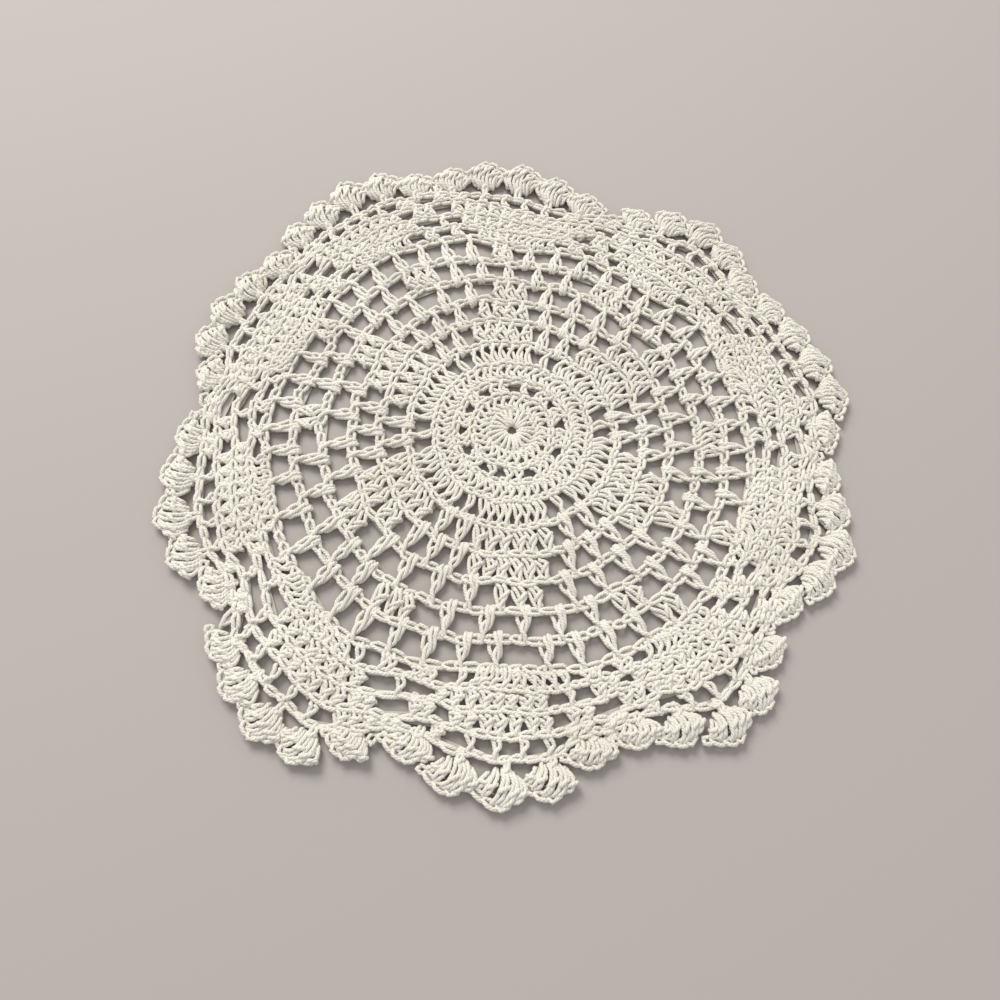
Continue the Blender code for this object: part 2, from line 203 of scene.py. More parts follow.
# The chains of a notch, which go down from the last cluster of a lobe and up to the first of the next.
LAST_SIDE = 0.48            # from the last cluster's middle to its chain, in pitches
LAST_DROP = 0.055           # from its tip to its chain
FIRST_SIDE = 0.42           # from the first cluster's middle to its chain, in pitches
FIRST_DROP = 0.070          # from its tip to its chain
NOTCH_HALF = 0.6            # from the notch's middle to the chains' lower ends, in degrees
NOTCH_DROP = 0.014          # from the notch's rim to these ends
NOTCH_BULGE = 0.004         # how far the chain down stands off the rim, halfway

# ---------------------------------------------------------------- how the yarn bends in a stitch

# side and height are in yarn diameters, clockwise from the stitch's middle line and above the middle
# of the lace. share is the way from foot to head, and reach is how far past that, in yarn diameters.
Bend = namedtuple("Bend", "side share reach height")
TRUNK = (
    Bend(2.00, 0.00, 0.20, -0.40),
    Bend(1.75, 0.00, 1.20, 0.75),
    Bend(1.05, 0.34, 0.00, 1.05),
    Bend(0.45, 0.56, 0.00, 0.65),
    Bend(-0.40, 0.84, 0.00, 0.30),
    Bend(-0.30, 1.00, 0.10, -0.30),
    Bend(0.20, 1.00, 0.30, 0.20),
    Bend(0.50, 0.88, 0.00, 1.00),
    Bend(-0.05, 0.68, 0.00, 1.15),
    Bend(-0.60, 0.50, 0.00, 0.90),
    Bend(-0.20, 0.28, 0.00, 1.05),
    Bend(0.55, 0.00, 1.10, 0.90),
    Bend(0.80, 0.00, 0.10, -0.30),
    Bend(1.40, 0.00, 0.00, -0.75),
)
THIN_LEG = (
    Bend(2.10, 0.22, 0.00, 0.00),
    Bend(1.75, 0.50, 0.00, 0.20),
    Bend(1.10, 0.80, 0.00, 0.30),
    Bend(0.60, 1.00, -0.30, -0.30),
    Bend(0.00, 0.75, 0.00, -0.55),
    Bend(-0.10, 0.30, 0.00, -0.45),
    Bend(1.20, 0.05, 0.30, -0.50),
)
DC_WRAP = (
    Bend(0.95, 0.64, 0.00, 0.40),
    Bend(0.30, 0.54, 0.00, 1.45),
    Bend(-0.50, 0.42, 0.00, 1.35),
    Bend(-1.05, 0.36, 0.00, 0.30),
    Bend(-0.40, 0.44, 0.00, -0.40),
    Bend(0.50, 0.58, 0.00, -0.40),
)
POST_TRUNK = (
    Bend(-0.60, 0.00, -1.20, 0.40),
    Bend(-0.70, 0.00, 0.00, 1.20),
    Bend(-0.68, 0.18, 0.00, 0.60),
    Bend(-0.10, 0.36, 0.00, 0.45),
    Bend(0.42, 0.52, 0.00, 0.85),
    Bend(0.36, 0.70, 0.00, 1.20),
    Bend(-0.22, 0.86, 0.00, 1.25),
    Bend(-0.55, 1.00, 0.10, 0.50),
    Bend(-0.40, 1.00, 0.60, -0.20),
    Bend(0.35, 1.00, 0.60, -0.20),
    Bend(0.55, 1.00, 0.00, 0.50),
    Bend(0.20, 0.86, 0.00, 0.35),
    Bend(-0.50, 0.68, 0.00, 0.45),
    Bend(-0.72, 0.50, 0.00, 1.00),
    Bend(-0.50, 0.32, 0.00, 1.35),
    Bend(-0.10, 0.16, 0.00, 1.40),
    Bend(0.20, 0.00, 0.00, 1.30),
    Bend(0.14, 0.00, -1.20, 0.40),
    Bend(0.00, 0.00, -0.80, -0.60),
    Bend(-0.50, 0.00, -0.80, -0.60),
)
POST_LEG = (
    Bend(1.38, 0.00, -0.20, -0.30),
    Bend(1.38, 0.14, 0.00, 0.20),
    Bend(1.26, 0.32, 0.00, 0.40),
    Bend(0.95, 0.48, 0.00, 0.45),
    Bend(0.50, 0.60, 0.00, 0.10),
    Bend(-0.30, 0.66, 0.00, -0.45),
    Bend(-0.90, 0.54, 0.00, 0.10),
    Bend(-1.14, 0.36, 0.00, 0.65),
    Bend(-1.18, 0.16, 0.00, 0.90),
    Bend(-1.12, 0.00, -0.30, 1.15),
    Bend(-1.00, 0.00, -1.30, 0.30),
    Bend(-0.75, 0.00, -1.00, -0.60),
    Bend(0.20, 0.20, 0.00, -0.75),
    Bend(0.95, 0.00, 0.00, -0.75),
)
SLIM_TRUNK = (
    Bend(1.25, 0.00, 0.20, -0.40),
    Bend(1.10, 0.00, 1.20, 0.80),
    Bend(0.72, 0.36, 0.00, 1.05),
    Bend(0.30, 0.60, 0.00, 0.55),
    Bend(-0.45, 0.86, 0.00, 0.25),
    Bend(-0.30, 1.00, 0.10, -0.30),
    Bend(0.20, 1.00, 0.30, 0.20),
    Bend(0.50, 0.88, 0.00, 0.95),
    Bend(0.00, 0.68, 0.00, 1.15),
    Bend(-0.60, 0.48, 0.00, 0.95),
    Bend(-0.35, 0.26, 0.00, 1.00),
    Bend(0.15, 0.00, 1.00, 0.90),
    Bend(0.30, 0.00, 0.00, -0.20),
    Bend(0.80, 0.00, 0.00, -0.75),
)
SPOKE = (
    Bend(0.00, 0.00, 0.00, -0.60),
    Bend(0.00, 0.00, -0.30, 0.40),
    Bend(0.00, 0.12, 0.00, 1.15),
    Bend(0.00, 0.55, 0.00, 1.35),
    Bend(0.00, 1.00, 0.30, 0.85),
    Bend(0.00, 1.00, 0.50, -0.30),
    Bend(0.00, 0.55, 0.00, -0.70),
)
CLUSTER_LEGS = (
    Bend(-0.46, 0.00, 0.00, 0.20),
    Bend(-0.48, 0.22, 0.00, 0.70),
    Bend(-0.48, 0.75, 0.00, 0.75),
    Bend(-0.40, 1.00, -0.40, 0.40),
    Bend(0.00, 1.00, 0.20, 0.00),
    Bend(0.40, 1.00, -0.40, 0.40),
    Bend(0.48, 0.75, 0.00, 0.75),
    Bend(0.48, 0.22, 0.00, 0.70),
    Bend(0.46, 0.00, 0.00, 0.20),
    Bend(0.25, 0.00, -0.30, -0.50),
    Bend(0.20, 0.60, 0.00, -0.70),
    Bend(-0.20, 0.60, 0.00, -0.70),
    Bend(-0.25, 0.00, -0.30, -0.50),
)
CLUSTER_WRAP = (
    Bend(0.80, 0.66, 0.00, 0.30),
    Bend(0.40, 0.60, 0.00, 1.20),
    Bend(-0.40, 0.42, 0.00, 1.20),
    Bend(-0.80, 0.36, 0.00, 0.30),
    Bend(-0.40, 0.42, 0.00, -0.40),
    Bend(0.40, 0.60, 0.00, -0.40),
)
FORMS = {
    "spoke": (SPOKE,),
    "slim": (SLIM_TRUNK,),
    "dc": (TRUNK, THIN_LEG, DC_WRAP),
    "post": (POST_TRUNK, POST_LEG),
    "cluster": (CLUSTER_LEGS, CLUSTER_WRAP),
}
CLOSE_FORMS = ("slim", "dc")
# One chain stitch of a braid. along is in chain stitches.
Link = namedtuple("Link", "along side height")
CHAIN = (
    Link(0.05, 0.00, -0.70),
    Link(0.28, 0.32, -0.25),
    Link(0.66, 0.60, 0.50),
    Link(1.08, 0.56, 0.80),
    Link(1.40, 0.12, 0.45),
    Link(1.40, -0.26, 0.05),
    Link(1.08, -0.62, 0.40),
    Link(0.66, -0.60, 0.20),
    Link(0.36, -0.28, -0.15),
    Link(0.52, -0.04, -0.65),
)

# ---------------------------------------------------------------- where things are on the doily


def eased(points, angle):
    """Value at an angle of a closed row of (angle, value) points, with an easy curve between them."""
    angles = [a for a, _ in points]
    turned = (angle - angles[0]) % 360.0 + angles[0]
    low = bisect_right(angles, turned) - 1
    a0, v0 = points[low]
    a1, v1 = points[low + 1] if low + 1 < len(points) else (points[0][0] + 360.0, points[0][1])
    share = (turned - a0) / (a1 - a0)
    return v0 + (v1 - v0) * (1.0 - math.cos(math.pi * share)) / 2.0


def cluster_angle(lobe, index):
    return lobe.centre + (index - CLUSTERS // 2) * lobe.pitch


def shell_points():
    points = []
    for lobe in LOBES:
        points += [(lobe.centre, lobe.shell), (lobe.notch, lobe.neck)]
    return points


def notch_points():
    """1 at a notch, and 0 at the middle of a lobe."""
    points = []
    for lobe in LOBES:
        points += [(lobe.centre, 0.0), (lobe.notch, 1.0)]
    return points


def edge_points():
    points = []
    for lobe in LOBES:
        points += [(cluster_angle(lobe, k), lobe.tips[k] - CLUSTER_HEIGHTS[k] * lobe.tall)
                   for k in range(CLUSTERS)]
        points.append((lobe.notch, lobe.rim - NOTCH_RIM))
    return points


SHELL = shell_points()
NOTCHES = notch_points()
EDGE = edge_points()


def unevenness(angle, radius):
    """How far a round strays from an even line, as hand work does."""
    turn = math.radians(angle)
    swayed = sum(sway.size * math.sin(turn * sway.waves + radius * sway.turned) for sway in SWAYS)
    return swayed * min(1.0, radius * SWAY_GROWTH)


def star_radius(angle, radius):
    """Radius of a round inside the lobes, drawn in or out as the lobe outside it is."""
    pull = eased(SHELL, angle) / SHELL_RADIUS - 1.0
    even = radius * (1.0 + pull * (radius / SHELL_RADIUS) ** PULL_POWER)
    return even + unevenness(angle, even)


def lobe_radius(angle, share):
    """Radius of a round in the lobes: share 0 is where they start, and 1 is their last round."""
    shell = eased(SHELL, angle)
    share += eased(NOTCHES, angle) * NOTCH_SHIFT * share ** NOTCH_POWER * (1.0 - share)
    even = shell + share * (eased(EDGE, angle) - shell)
    return even + unevenness(angle, even)


def place(angle, radius, height=MIDDLE_HEIGHT):
    turn = math.radians(angle)
    return Vector((NOTCH_RADIUS * radius * math.sin(turn), NOTCH_RADIUS * radius * math.cos(turn),
                   height))


# ---------------------------------------------------------------- laying the yarn

SEED = 11                   # of all the small shifts of the yarn
chance = random.Random(SEED)


def wobble(size):
    return chance.uniform(-size, size)


def stray(size):
    return Vector((wobble(size), wobble(size), wobble(size) * LOOSE_HEIGHT))


def bow_at(share):
    """How far a bow of height 1 stands out at a share of its way."""
    return 4.0 * share * (1.0 - share)


def smooth(points):
    """A closed row of points with one more beside each sharp turn that shows."""
    count = len(points)
    smoothed = []
    for index, point in enumerate(points):
        before, after = points[index - 1], points[(index + 1) % count]
        beyond = points[(index + 2) % count]
        smoothed.append(point)
        step = after - point
        turn = max(step.angle(point - before), step.angle(beyond - after))
        if turn > SHARP and max(point.z, after.z) > MIDDLE_HEIGHT:
            smoothed.append((point + after) * NEAR_WEIGHT - (before + beyond) * FAR_WEIGHT)
    return smoothed


def bend_yarn(form, foot, head, bow=0.0, swell=0.0):
    """A closed run of yarn, bent as a form says between a stitch's foot and its head."""
    along = head - foot
    length = along.length
    along = along / length
    across = Vector((along.y, -along.x, 0.0)).normalized()
    run = []
    for bend in form:
        part = bend.share + bend.reach * YARN / length
        arch = max(0.0, bow_at(part))
        side = across * (bend.side * YARN + bow * arch)
        lift = Vector((0.0, 0.0, bend.height * YARN * HEIGHT_SHARE + swell * arch))
        run.append(foot + along * (part * length) + side + lift + stray(LOOSE))
    return smooth(run)


def braid(runs, stations, broad, closed=True):
    """Chain stitches along a row of points. broad is how broad the chain is at each of them."""
    count = len(stations)
    run = []
    for index in range(count if closed else count - 1):
        for link in CHAIN:
            whole = int(link.along)
            part = link.along - whole
            first, second = index + whole, index + whole + 1
            if closed:
                first, second = first % count, second % count
            elif second >= count:
                first, second, part = count - 2, count - 1, 1.0
            start, end = stations[first], stations[second]
            along = (end - start).normalized()
            across = Vector((-along.y, along.x, 0.0))
            lift = Vector((0.0, 0.0, link.height * YARN * HEIGHT_SHARE))
            side = link.side * (broad[first] * (1.0 - part) + broad[second] * part)
            run.append(start.lerp(end, part) + across * (side * YARN) + lift + stray(CHAIN_LOOSE))
    runs.append(run)


# ---------------------------------------------------------------- the plan of a round

# left and right are the angles that a stitch fills, and foot and head where it stands and ends.
Stitch = namedtuple("Stitch", "left right form foot head")
TOUCHING = 0.001            # degrees from one stitch to the next, under which they touch


def find_gaps(row, radius_at):
    """(left, right) angles of all the gaps of a round, in order."""
    gaps = []
    for middle, pitch, count in row.runs:
        for index in range(count):
            angle = middle + (index - (count - 1) / 2.0) * pitch
            mean = (radius_at(angle, row.inner) + radius_at(angle, row.outer)) / 2.0
            half_angle = pitch / 2.0 - math.degrees(row.post / mean) / 2.0
            gaps.append((angle - half_angle, angle + half_angle))
    return gaps


def plan_close_work(row, left, right, number):
    """Stitches side by side from one angle to another, their feet drawn to the middle."""
    step = (right - left) / number
    stitches = []
    for k in range(number):
        middle = left + (k + 0.5) * step
        off = middle - (left + right) / 2.0
        end = 2.0 * off / (right - left)
        foot = middle - off * (1.0 - row.fan) * (1.0 - end * end)
        stitches.append(Stitch(left + k * step, left + (k + 1) * step, row.form,
                               foot + wobble(STITCH_STRAY) * step,
                               middle + wobble(STITCH_STRAY) * step))
    return stitches


def plan_stitches(row, radius_at):
    """The stitches of a round, in order: those between its gaps, or evenly all round."""
    gaps = find_gaps(row, radius_at)
    if not gaps:
        return plan_close_work(row, 0.0, 360.0, row.count)
    stitches = []
    for index, (_, left) in enumerate(gaps):
        right = gaps[(index + 1) % len(gaps)][0]
        right += 360.0 if right < left else 0.0
        middle = (left + right) / 2.0
        mean = (radius_at(middle, row.inner) + radius_at(middle, row.outer)) / 2.0
        width = math.radians(right - left) * mean
        if row.between != row.form and width < row.post * LONE_LIMIT:
            lean = math.degrees(wobble(POST_LEAN) / mean)
            stitches.append(Stitch(left, right, row.between, middle - lean, middle + lean))
        else:
            stitches += plan_close_work(row, left, right, max(1, round(width / row.close)))
    return stitches


def lay_stitch(runs, form, foot, head, bow=0.0, swell=0.0):
    for bends in FORMS[form]:
        runs.append(bend_yarn(bends, foot, head, bow, swell))


def lay_round(runs, row, radius_at, stitches):
    """The stitches of a round, from its inner braid to its outer one."""
    for stitch in stitches:
        height = MIDDLE_HEIGHT + wobble(STITCH_LIFT)
        foot = place(stitch.foot, radius_at(stitch.foot, row.inner), height)
        head = place(stitch.head, radius_at(stitch.head, row.outer), height)
        lay_stitch(runs, stitch.form, foot, head)


def plan_braid(row, radius_at, stitches):
    """(angle, bow) of each chain stitch of a round's braid: one over each stitch, more over a gap."""
    links = []
    for index, stitch in enumerate(stitches):
        links.append((stitch.left, 0.0))
        following = stitches[(index + 1) % len(stitches)].left
        following += 360.0 if following < stitch.right - TOUCHING else 0.0
        gap = math.radians(following - stitch.right) * radius_at(stitch.right, row.outer)
        count = round(gap / CHAIN_LENGTH)
        links += [(stitch.right + (following - stitch.right) * k / count,
                   GAP_BOW * gap * bow_at(k / count)) for k in range(count)]
    return links


def lay_round_braid(runs, row, radius_at, stitches):
    """The braid on the outer side of a round, which is higher over close work than over the gaps."""
    close = [stitch.left for stitch in stitches
             if stitch.form == row.form and stitch.form in CLOSE_FORMS]
    gap_breadth = LOBE_GAP_BREADTH if radius_at is lobe_radius else GAP_BREADTH
    stations = []
    broad = []
    for angle, bow in plan_braid(row, radius_at, stitches):
        height = MIDDLE_HEIGHT + wobble(BRAID_LIFT) + (CLOSE_RISE if angle in close else 0.0)
        radius = radius_at(angle, row.outer) + bow + wobble(BRAID_STRAY)
        stations.append(place(angle + math.degrees(wobble(BRAID_SLIP) / radius), radius, height))
        broad.append(1.0 if angle in close else gap_breadth)
    braid(runs, stations, broad)


# ---------------------------------------------------------------- the clusters of the edge


def cluster_spot(lobe, index, x, y):
    """Angle and radius of a point of a cluster, from its shares of NOTCH_RADIUS off the tip."""
    tip = lobe.tips[index]
    across = math.radians(lobe.pitch) * (tip - CLUSTER_BELLY) / CLUSTER_WIDTH
    depth = lobe.tall * CLUSTER_HEIGHTS[index] / CLUSTER_DEPTH
    radius = tip - CLUSTER_INSET + y * depth
    return cluster_angle(lobe, index) + math.degrees(x * across / radius), radius


def lay_cluster(stitch_runs, braid_runs, lobe, index):
    """A stem, tall stitches that fan out from it, and the braid round their outer side."""
    depth = lobe.tall * CLUSTER_HEIGHTS[index] / CLUSTER_DEPTH
    raised = MIDDLE_HEIGHT + CLUSTER_RISE
    stem = CLUSTER_STEM
    foot = place(*cluster_spot(lobe, index, stem.foot_x, stem.foot_y))
    head = place(*cluster_spot(lobe, index, stem.head_x, stem.head_y))
    lay_stitch(stitch_runs, "cluster", foot, head)
    for plan in CLUSTER_STITCHES:
        foot = place(*cluster_spot(lobe, index, plan.foot_x, plan.foot_y), raised)
        head = place(*cluster_spot(lobe, index, plan.head_x, plan.head_y), raised)
        lay_stitch(stitch_runs, "cluster", foot, head, plan.bow * NOTCH_RADIUS, plan.swell * depth)
    rim = [place(*cluster_spot(lobe, index, x, y), raised) for x, y in CLUSTER_RIM]
    braid(braid_runs, rim, [RIM_BREADTH] * len(rim), closed=False)


def lay_notch(runs, lobe, following):
    """The chains down from the last cluster of a lobe, and up to the first of the next."""
    turn = 360.0 if following.centre < lobe.centre else 0.0
    last = cluster_angle(lobe, CLUSTERS - 1) + LAST_SIDE * lobe.pitch
    first = cluster_angle(following, 0) + turn - FIRST_SIDE * following.pitch
    down = ((last, lobe.tips[-1] - LAST_DROP),
            ((last + lobe.notch) / 2.0, lobe.rim + NOTCH_BULGE),
            (lobe.notch - NOTCH_HALF, lobe.rim - NOTCH_DROP))
    up = ((lobe.notch + NOTCH_HALF, lobe.rim - NOTCH_DROP),
          ((first + lobe.notch) / 2.0, lobe.rim),
          (first, following.tips[0] - FIRST_DROP))
    for points in (down, up):
        chain = [place(angle, radius) for angle, radius in points]
        braid(runs, chain, [GAP_BREADTH] * len(chain), closed=False)


# ---------------------------------------------------------------- the ground that the yarn covers

GROUND_HEIGHT = 0.0005      # of its underside
GROUND_THICKNESS = 0.0003
BAND_HALF = 0.0105          # half the width of the ground under a braid, in shares of NOTCH_RADIUS
FIRST_BAND = 0.8            # width of the ground round the eye, as a share of BAND_HALF
STRIP_HALF = 0.0085         # half its width under a stitch, in shares of NOTCH_RADIUS
STRIP_SHARE = 0.4           # the most of the way to the next stitch that this takes
LEAST_GAP = 0.006           # narrower gaps stay closed, in shares of NOTCH_RADIUS
GROUND_SHADE = 0.64         # painted shade: the ground's colour as a share of the yarn's brightness, for the shadow deep between the strands


def strip_spots(angles, radii, inset):
    """Left and right corner of the ground under each stitch, at one of its ends."""
    sides = []
    for index, angle in enumerate(angles):
        room = math.degrees(STRIP_HALF / radii[index])
        before = (angle - angles[index - 1]) % 360.0
        after = (angles[(index + 1) % len(angles)] - angle) % 360.0
        sides.append((angle - min(room, STRIP_SHARE * before),
                      angle + min(room, STRIP_SHARE * after)))
    return [(side, radius + inset) for pair, radius in zip(sides, radii) for side in pair]


def ring_of_points(ground, spots):
    """(angle, point) of a closed row of places, where angles only grow."""
    row = []
    for angle, radius in spots:
        grown = row[-1][0] + (angle - row[-1][0]) % 360.0 if row else angle % 360.0
        row.append((grown, ground.verts.new(place(angle, radius, GROUND_HEIGHT))))
    return row


def fill_ring(ground, inner, outer):
    """Triangles between two closed rows of (angle, point)."""
    near = min(range(len(outer)),
               key=lambda k: abs((outer[k][0] - inner[0][0] + 180.0) % 360.0 - 180.0))
    first = outer[near:] + [(angle + 360.0, point) for angle, point in outer[:near]]
    shift = 360.0 * round((inner[0][0] - first[0][0]) / 360.0)
    first = [(angle + shift, point) for angle, point in first]
    inside = inner + [(inner[0][0] + 360.0, inner[0][1])]
    outside = first + [(first[0][0] + 360.0, first[0][1])]
    i, k = 0, 0
    while i + 1 < len(inside) or k + 1 < len(outside):
        step_inside = k + 1 == len(outside) or (
            i + 1 < len(inside) and inside[i + 1][0] < outside[k + 1][0])
        if step_inside:
            ground.faces.new((inside[i][1], outside[k][1], inside[i + 1][1]))
            i += 1
        else:
            ground.faces.new((inside[i][1], outside[k][1], outside[k + 1][1]))
            k += 1


def fill_strips(ground, feet, heads, least_gap):
    """The ground under each stitch, and between two stitches where the gap is too narrow."""
    count = len(feet) // 2
    for index in range(count):
        left, right = 2 * index, 2 * index + 1
        following = (right + 1) % (2 * count)
        ground.faces.new((feet[left][1], heads[left][1], heads[right][1], feet[right][1]))
        foot_gap = (feet[following][1].co - feet[right][1].co).length
        head_gap = (heads[following][1].co - heads[right][1].co).length
        if foot_gap + head_gap < 2.0 * least_gap * NOTCH_RADIUS:
            ground.faces.new((feet[right][1], heads[right][1], heads[following][1],
                              feet[following][1]))


def cap_ground(ground, left, right, lobe, index):
    """The ground under a cluster and its stem, from two points of the last ring."""
    cap = [ground.verts.new(place(*cluster_spot(lobe, index, x, y), GROUND_HEIGHT))
           for x, y in CLUSTER_GROUND]
    ground.faces.new([left, *cap, right])


def lace_ground(material, plans):
    """A thin cotton ground with a gap between each two stitches, inside the yarn's thickness. It fills
    in for the yarn's fuzz and overlaps, and its darker colour is painted shade.

    Returns the piece and the ground's flat area.
    """
    ground = bmesh.new()
    held = []
    for row, radius_at, stitches in plans:
        feet = [stitch.foot for stitch in stitches]
        heads = [stitch.head for stitch in stitches]
        low = [radius_at(angle, row.inner) for angle in feet]
        high = [radius_at(angle, row.outer) for angle in heads]
        foot_spots = strip_spots(feet, low, BAND_HALF)
        head_spots = strip_spots(heads, high, -BAND_HALF)
        foot_row = ring_of_points(ground, foot_spots)
        if not held:
            held = ring_of_points(ground, [(angle, radius - FIRST_BAND * BAND_HALF)
                                           for angle, radius in foot_spots])
        fill_ring(ground, held, foot_row)
        head_row = ring_of_points(ground, head_spots)
        fill_strips(ground, foot_row, head_row, math.inf if row.count else LEAST_GAP)
        held = head_row
    edge = []
    for lobe in LOBES:
        for index in range(CLUSTERS):
            angle = cluster_spot(lobe, index, CLUSTER_STEM.foot_x, CLUSTER_STEM.foot_y)[0]
            room = math.degrees(STRIP_HALF / lobe.rim)
            edge += [angle - room, angle + room]
        edge.append(lobe.notch)
    edge_row = ring_of_points(ground, [(angle, lobe_radius(angle, 1.0) + BAND_HALF)
                                       for angle in edge])
    fill_ring(ground, held, edge_row)
    points = iter(point for _, point in edge_row)
    for lobe in LOBES:
        for index in range(CLUSTERS):
            cap_ground(ground, next(points), next(points), lobe, index)
        next(points)
    flat_area = sum(face.calc_area() for face in ground.faces)
    raised = bmesh.ops.extrude_face_region(ground, geom=ground.faces[:])["geom"]
    bmesh.ops.translate(ground, vec=(0.0, 0.0, GROUND_THICKNESS),
                        verts=[part for part in raised if isinstance(part, bmesh.types.BMVert)])
    bmesh.ops.recalc_face_normals(ground, faces=ground.faces)
    mesh = bpy.data.meshes.new("lace_ground")
    ground.to_mesh(mesh)
    ground.free()
    mesh.materials.append(material)
    piece = bpy.data.objects.new("lace_ground", mesh)
    bpy.context.scene.collection.objects.link(piece)
    return piece, flat_area


# ---------------------------------------------------------------- making pieces


def yarn_piece(name, runs, material):
    """Closed runs of yarn as one mesh. Its UV map's u counts the turns of the plies along a run."""
    curve = bpy.data.curves.new(name, "CURVE")
    curve.dimensions = "3D"
    curve.bevel_depth = YARN / 2.0
    curve.bevel_resolution = SIDES
    for run in runs:
        spline = curve.splines.new("POLY")
        spline.points.add(len(run) - 1)
        for point, spot in zip(spline.points, run):
            point.co = (spot.x, spot.y, spot.z, 1.0)
        spline.use_cyclic_u = True
    drawn = bpy.data.objects.new(name + "_path", curve)
    bpy.context.scene.collection.objects.link(drawn)
    mesh = bpy.data.meshes.new_from_object(
        drawn.evaluated_get(bpy.context.evaluated_depsgraph_get()))
    bpy.data.objects.remove(drawn, do_unlink=True)
    corners = np.empty(len(mesh.loops) * 2, dtype=np.float32)
    mesh.uv_layers[0].data.foreach_get("uv", corners)
    step_corners = (4 + 2 * SIDES) * 4     # of the four-sided faces of one step along a run
    start = 0
    for run in runs:
        steps = [(after - point).length for point, after in zip(run, run[1:] + run[:1])]
        reached = np.cumsum([0.0] + steps)
        turns = max(1, round(reached[-1] / TWIST_LENGTH))
        end = start + 2 * len(run) * step_corners
        corners[start:end:2] = np.interp(corners[start:end:2] * len(run), range(len(run) + 1),
                                         reached * (turns / reached[-1]))
        start = end
    mesh.uv_layers[0].data.foreach_set("uv", corners)
    mesh.shade_smooth()
    mesh.materials.clear()
    mesh.materials.append(material)
    mesh.name = name
    piece = bpy.data.objects.new(name, mesh)
    bpy.context.scene.collection.objects.link(piece)
    return piece


# ---------------------------------------------------------------- materials

DARK_COTTON = (0.76, 0.722, 0.63, 1.0)
LIGHT_COTTON = (0.835, 0.798, 0.705, 1.0)
PATCH_SCALE = 45.0          # patches of darker and lighter cotton in a metre
PATCH_DETAIL = 4.0
PATCH_EDGES = (0.35, 0.65)  # values of the patches at which they are all dark and all light
FIBRE_SCALE = 6000.0        # fibres in a metre
FIBRE_DETAIL = 3.0
FIBRE_HEIGHT = 0.5          # of the fibres, as a share of the plies'
PLY_HEIGHT = 0.0002         # of the plies over the grooves between them
PLY_STRENGTH = 0.6          # of their bump
GROOVE_EDGE = 0.45          # share of a ply's height at which a groove's shade ends
GROOVE_SHADE = 0.76         # of the yarn's brightness, at the bottom of a groove
COTTON_ROUGHNESS = 0.9
COTTON_SHEEN = 0.12
SHEEN_ROUGHNESS = 0.5


def maths(nodes, links, operation, first, second=0.0, third=0.0):
    """A Math node on two or three values, each a number or an output. Returns its output."""
    node = nodes.new("ShaderNodeMath")
    node.operation = operation
    for socket, value in zip(node.inputs, (first, second, third)):
        if isinstance(value, (int, float)):
            socket.default_value = value
        else:
            links.new(value, socket)
    return node.outputs[0]


def shaded(nodes, links, colour, share):
    """A colour times a share, which is a number or an output. Returns the output."""
    node = nodes.new("ShaderNodeMix")
    node.data_type = "RGBA"
    node.blend_type = "MULTIPLY"
    node.inputs["Factor"].default_value = 1.0
    links.new(colour, node.inputs["A"])
    if isinstance(share, float):
        node.inputs["B"].default_value = (share, share, share, 1.0)
    else:
        links.new(share, node.inputs["B"])
    return node.outputs["Result"]


def tone_group():
    """The yarn's uneven tone: a colour, and a value from 0 to 1 of fine fibres."""
    group = bpy.data.node_groups.new("cotton_tone", "ShaderNodeTree")
    group.interface.new_socket("Place", in_out="INPUT", socket_type="NodeSocketVector")
    group.interface.new_socket("Colour", in_out="OUTPUT", socket_type="NodeSocketColor")
    group.interface.new_socket("Fibres", in_out="OUTPUT", socket_type="NodeSocketFloat")
    nodes, links = group.nodes, group.links
    inside, outside = nodes.new("NodeGroupInput"), nodes.new("NodeGroupOutput")
    patches = nodes.new("ShaderNodeTexNoise")
    patches.inputs["Scale"].default_value = PATCH_SCALE
    patches.inputs["Detail"].default_value = PATCH_DETAIL
    ramp = nodes.new("ShaderNodeValToRGB")
    for element, edge, colour in zip(ramp.color_ramp.elements, PATCH_EDGES,
                                     (DARK_COTTON, LIGHT_COTTON)):
        element.position = edge
        element.color = colour
    fibres = nodes.new("ShaderNodeTexNoise")
    fibres.inputs["Scale"].default_value = FIBRE_SCALE
    fibres.inputs["Detail"].default_value = FIBRE_DETAIL
    links.new(inside.outputs["Place"], patches.inputs["Vector"])
    links.new(inside.outputs["Place"], fibres.inputs["Vector"])
    links.new(patches.outputs["Fac"], ramp.inputs["Fac"])
    links.new(ramp.outputs["Color"], outside.inputs["Colour"])
    links.new(fibres.outputs["Fac"], outside.inputs["Fibres"])
    return group


def new_cotton(name, tone):
    """A soft cotton material. Returns it, its shader, and the node of the tone group in it."""
    material = bpy.data.materials.new(name)
    material.use_nodes = True
    nodes, links = material.node_tree.nodes, material.node_tree.links
    shader = nodes["Principled BSDF"]
    shader.inputs["Roughness"].default_value = COTTON_ROUGHNESS
    shader.inputs["Sheen Weight"].default_value = COTTON_SHEEN
    shader.inputs["Sheen Roughness"].default_value = SHEEN_ROUGHNESS
    where = nodes.new("ShaderNodeTexCoord")
    group = nodes.new("ShaderNodeGroup")
    group.node_tree = tone
    links.new(where.outputs["Object"], group.inputs["Place"])
    return material, shader, group


